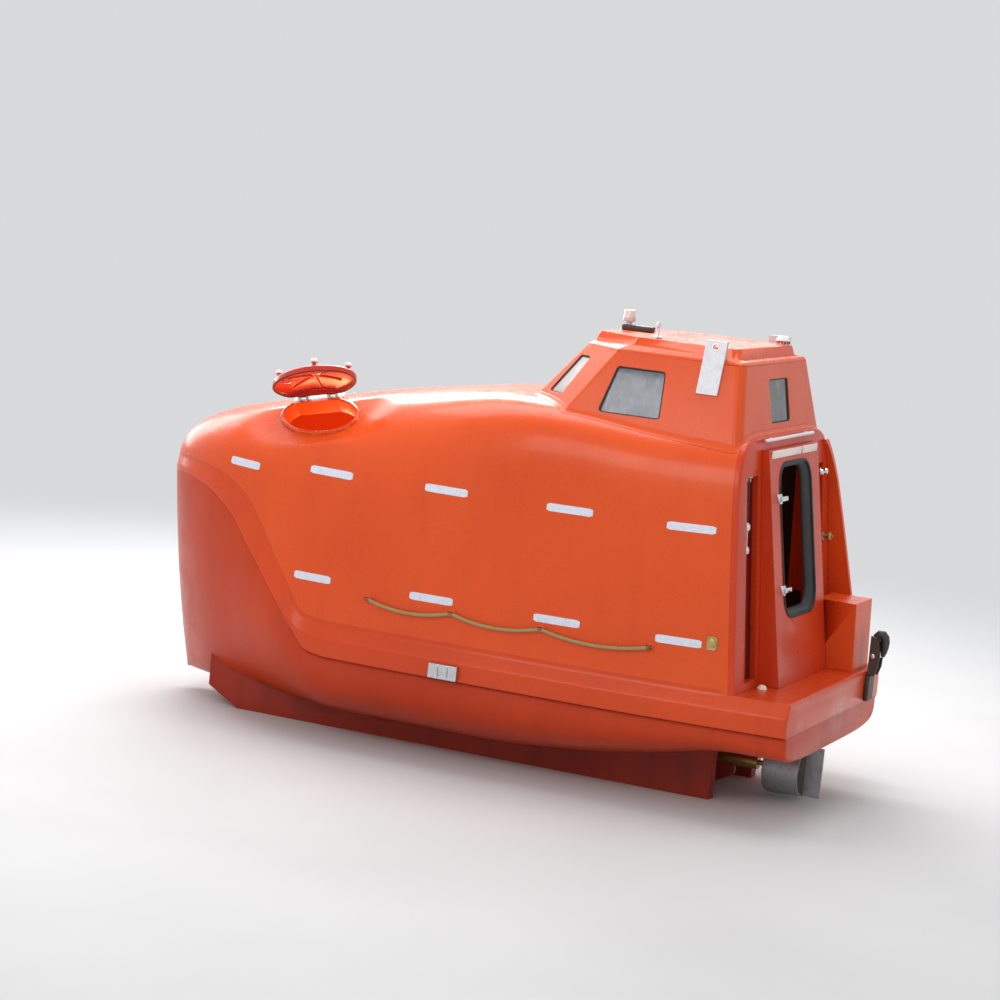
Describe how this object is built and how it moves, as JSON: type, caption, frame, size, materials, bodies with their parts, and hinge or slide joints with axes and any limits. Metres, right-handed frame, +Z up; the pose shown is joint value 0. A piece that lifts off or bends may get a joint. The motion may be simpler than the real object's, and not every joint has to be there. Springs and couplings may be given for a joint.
{
  "type": "free-fall lifeboat",
  "caption": "Small enclosed free-fall lifeboat standing on its launch skids, with a helm cab, aft door, bow hatch, propeller and steering nozzle.",
  "frame": {"origin": "centre of the bounding box in plan, at the underside of the launch skids", "axes": "+X to the bow, +Y to port, +Z up"},
  "size_m": [4.988, 2.2326, 2.9983],
  "materials": {
    "orange_grp": "orange gelcoat",
    "dark_grp": "dark orange-red gelcoat",
    "black_rubber": "matt black",
    "steel": "weathered stainless",
    "grey_paint": "light grey paint",
    "black_paint": "black paint",
    "white_plastic": "white",
    "pane": "tinted",
    "rope": "weathered rope",
    "bronze": "cast bronze",
    "seat_plastic": "black"
  },
  "bodies": {
    "boat": {"hull_shell": "orange_grp", "gunwale_band": "orange_grp", "canopy_shell": "orange_grp", "aft_wall": "orange_grp", "cheek_starboard": "orange_grp", "door_housing": "orange_grp", "door_seal": "black_rubber", "door_dog_upper": "steel", "door_dog_lower": "steel", "door_hinge_upper_a": "steel", "door_hinge_upper_b": "steel", "door_hinge_lower_a": "steel", "door_hinge_lower_b": "steel", "niche_port": "dark_grp", "niche_starboard": "dark_grp", "aft_deck": "orange_grp", "deck_locker": "orange_grp", "cab_shell": "orange_grp", "cab_roof": "orange_grp", "cab_window_port": "pane", "cab_window_starboard": "pane", "cab_window_front": "pane", "cab_window_aft": "pane", "cab_window_quarter_port": "pane", "cab_window_quarter_starboard": "pane", "mast_light": "white_plastic", "roof_post": "steel", "roof_dome": "white_plastic", "lifting_plate_port": "grey_paint", "lifting_plate_starboard": "grey_paint", "hatch_coaming": "orange_grp", "hatch_hinge_base": "white_plastic", "drip_rail": "white_plastic", "lifting_chain_port": "steel", "lifting_chain_starboard": "steel", "stern_bracket": "steel", "stern_hook": "black_paint", "gunwale_bracket_port": "steel", "gunwale_bracket_starboard": "steel", "grab_line_port": "rope", "grab_line_starboard": "rope", "skid_port": "dark_grp", "skid_starboard": "dark_grp", "skeg": "dark_grp", "stern_tube": "steel", "cabin_sole": "grey_paint", "engine_bed": "dark_grp", "engine": "grey_paint", "seats_port": "seat_plastic", "seats_starboard": "seat_plastic", "helm_seat": "seat_plastic"},
    "aft_door": {"aft_door": "orange_grp"},
    "hatch_lid": {"hatch_lid": "orange_grp"},
    "propeller": {"propeller": "bronze"},
    "steering_nozzle": {"steering_nozzle": "steel", "nozzle_fin": "steel"}
  },
  "joints": [
    {"name": "aft_door_hinge", "type": "hinge", "parent": "boat", "child": "aft_door", "pos_m": [-1.9358, 0.295, 1.69], "axis": [0.1561, 0, 0.9877], "range_deg": [-23, 67]},
    {"name": "hatch_lid_hinge", "type": "hinge", "parent": "boat", "child": "hatch_lid", "pos_m": [1.21851, 0.41113, 2.2215], "axis": [0.9773, 0, -0.2118], "range_deg": [-55, 80]},
    {"name": "propeller_spin", "type": "hinge", "parent": "boat", "child": "propeller", "pos_m": [-2.094, 0, 0.195], "axis": [1, 0, 0], "continuous": true},
    {"name": "nozzle_steering", "type": "hinge", "parent": "boat", "child": "steering_nozzle", "pos_m": [-2.094, 0, 0.195], "axis": [0, 0, 1], "range_deg": [-30, 30]}
  ]
}
